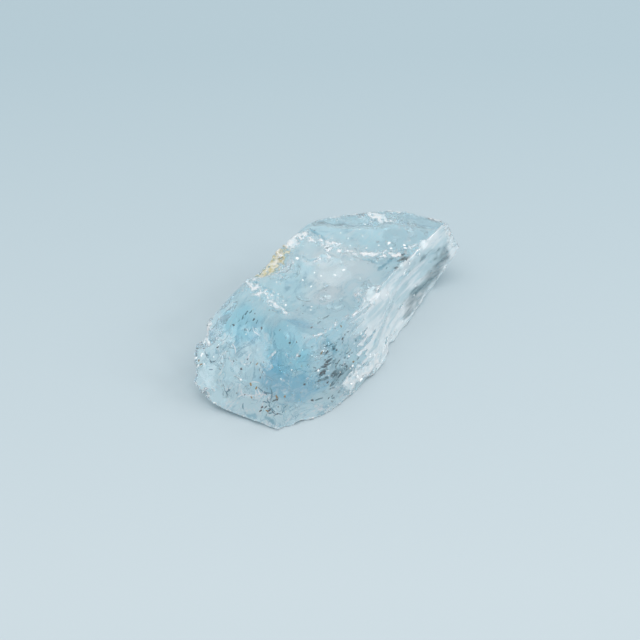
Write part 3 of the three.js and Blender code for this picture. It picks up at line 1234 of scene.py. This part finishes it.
class AQUAMARINE_OT_skins(bpy.types.Operator):
    """Lays the frosted skin, the flank's haze, the milky underside and the saddle's iron stain"""

    bl_idname = "aquamarine.skins"
    bl_label = "Frosted, hazy, milky and stained skins"

    def execute(self, context):
        settings = context.scene.aquamarine_stone
        stone = bpy.data.objects[STONE]
        frost = skin_of(stone, "frosted_skin", "frost", 0.55, 0.012 * MM)
        whites = ((0.72, 0.86, 0.91), (1.0, 1.0, 1.0))
        hand_in(frost, glass_material("crushed_beryl", whites, 0.35, 0.25, 1.5))
        haze = skin_of(stone, "flank_haze", "haze", 0.5, 0.010 * MM)
        let_light_in(haze)
        hand_in(haze, haze_material(settings))
        milk = skin_of(stone, "milky_underside", "milk", 0.5, 0.012 * MM, -1.0)
        hand_in(milk, milky_material(settings))
        stain = skin_of(stone, "iron_stain", "stain", 0.5, 0.016 * MM)
        ochres = (settings.stain_tint, (0.96, 0.95, 0.90))
        hand_in(stain, glass_material("iron_ochre", ochres, 0.3, 0.4, 1.4, drift=0.4))
        return {"FINISHED"}


class AQUAMARINE_OT_white_grains(bpy.types.Operator):
    """Strews tiny white grains over the frosted bands of the surface"""

    bl_idname = "aquamarine.white_grains"
    bl_label = "White grains"

    def execute(self, context):
        settings = context.scene.aquamarine_inclusions
        grains = add_mesh("white_grains", bpy.data.objects[STONE].data.copy())
        template = ragged_lump("grain", 40, 1, 2)
        sizes = (settings.grain_size * 0.3, settings.grain_size)
        nodes = grain_nodes("white_grains", template, settings.grain_density, "frost", sizes, 0.02 * MM, 3)
        apply_modifier(grains, "NODES", "grains", node_group=nodes)
        bpy.data.objects.remove(template)
        hand_in(grains, plain_material("white_grain", settings.white_tint, 0.4, 0.08, 0.2 * MM))
        return {"FINISHED"}


# The studio.


def add_floor(settings):
    """A plain floor just under the stone, with painted shade: its colour darkens from one side of it to the
    other.
    """
    deselect()
    bpy.ops.mesh.primitive_plane_add(size=4.0, location=(0, 0, -FLOOR_GAP * MM))
    floor = bpy.context.active_object
    floor.name = "floor"
    material, tree, surface, place = new_material("pale_floor")
    onward = (math.cos(settings.shade_heading), math.sin(settings.shade_heading), 0.0)
    share = tree.fade(tree.number("DOT_PRODUCT", place, onward), *FLOOR_SHADE_FADE)
    share.node.interpolation_type = "LINEAR"
    colour = tree.blend(share, settings.floor_near, settings.floor_far_shaded)
    tree.feed_all(surface, {"Base Color": colour, "Roughness": 0.9, "Specular IOR Level": 0.0})
    floor.data.materials.append(material)


def add_sky(settings):
    world = bpy.data.worlds.new("soft_sky")
    world.use_nodes = True
    background = world.node_tree.nodes["Background"]
    background.inputs["Color"].default_value = (*settings.sky_tint, 1.0)
    background.inputs["Strength"].default_value = settings.sky_strength
    bpy.context.scene.world = world


def add_lamp(name, at, size, power):
    """A round lamp that shines at the stone."""
    deselect()
    at = Vector(at)
    bpy.ops.object.light_add(type="AREA", location=at)
    lamp = bpy.context.active_object
    lamp.name = name
    lamp.rotation_mode = "QUATERNION"
    lamp.rotation_quaternion = (-at).to_track_quat("-Z", "Y")
    lamp.data.shape = "DISK"
    lamp.data.size = size
    lamp.data.energy = power


def add_camera(settings):
    back = Vector((
        math.sin(settings.azimuth) * math.cos(settings.elevation),
        -math.cos(settings.azimuth) * math.cos(settings.elevation),
        math.sin(settings.elevation),
    ))
    deselect()
    bpy.ops.object.camera_add(location=Vector(settings.aim) + back * settings.distance)
    camera = bpy.context.active_object
    camera.rotation_mode = "QUATERNION"
    camera.rotation_quaternion = (-back).to_track_quat("-Z", "Y")
    camera.data.lens = settings.lens
    camera.data.clip_start = 0.005
    bpy.context.scene.camera = camera


class AQUAMARINE_OT_studio(bpy.types.Operator):
    """Sets the crystal on a plain pale floor, in plain soft light, with a camera"""

    bl_idname = "aquamarine.studio"
    bl_label = "Studio"

    def execute(self, context):
        settings = context.scene.aquamarine_studio
        add_camera(settings)
        add_floor(settings)
        add_sky(settings)
        for name, at, width, power, share in LAMPS:
            add_lamp(name, at, width, share * getattr(settings, power))
        context.scene.view_settings.view_transform = "Standard"
        return {"FINISHED"}


class AQUAMARINE_PT_panel(bpy.types.Panel):
    """Lists the steps that build the crystal's pieces"""

    bl_label = "Aquamarine"
    bl_idname = "AQUAMARINE_PT_panel"
    bl_space_type = "VIEW_3D"
    bl_region_type = "UI"
    bl_category = "Aquamarine"

    def draw(self, context):
        for operator in OPERATORS:
            self.layout.operator(operator.bl_idname)


OPERATORS = (
    AQUAMARINE_OT_studio,
    AQUAMARINE_OT_crystal,
    AQUAMARINE_OT_dark_specks,
    AQUAMARINE_OT_dark_reflection_sheets,
    AQUAMARINE_OT_sparkles,
    AQUAMARINE_OT_rust_flakes,
    AQUAMARINE_OT_fractures,
    AQUAMARINE_OT_threads,
    AQUAMARINE_OT_veils,
    AQUAMARINE_OT_skins,
    AQUAMARINE_OT_white_grains,
)
GROUPS = (
    ("aquamarine_stone", StoneSettings),
    ("aquamarine_inclusions", InclusionSettings),
    ("aquamarine_studio", StudioSettings),
)


def register():
    for name, group in GROUPS:
        bpy.utils.register_class(group)
        setattr(bpy.types.Scene, name, PointerProperty(type=group))
    for operator in OPERATORS:
        bpy.utils.register_class(operator)
    bpy.utils.register_class(AQUAMARINE_PT_panel)


def unregister():
    bpy.utils.unregister_class(AQUAMARINE_PT_panel)
    for operator in reversed(OPERATORS):
        bpy.utils.unregister_class(operator)
    for name, group in reversed(GROUPS):
        delattr(bpy.types.Scene, name)
        bpy.utils.unregister_class(group)


def main():
    register()
    bpy.ops.aquamarine.studio()
    bpy.ops.aquamarine.crystal()
    bpy.ops.aquamarine.dark_specks()
    bpy.ops.aquamarine.dark_gaps()
    bpy.ops.aquamarine.sparkles()
    bpy.ops.aquamarine.rust_flakes()
    bpy.ops.aquamarine.fractures()
    bpy.ops.aquamarine.threads()
    bpy.ops.aquamarine.veils()
    bpy.ops.aquamarine.skins()
    bpy.ops.aquamarine.white_grains()


if __name__ == "__main__":
    main()
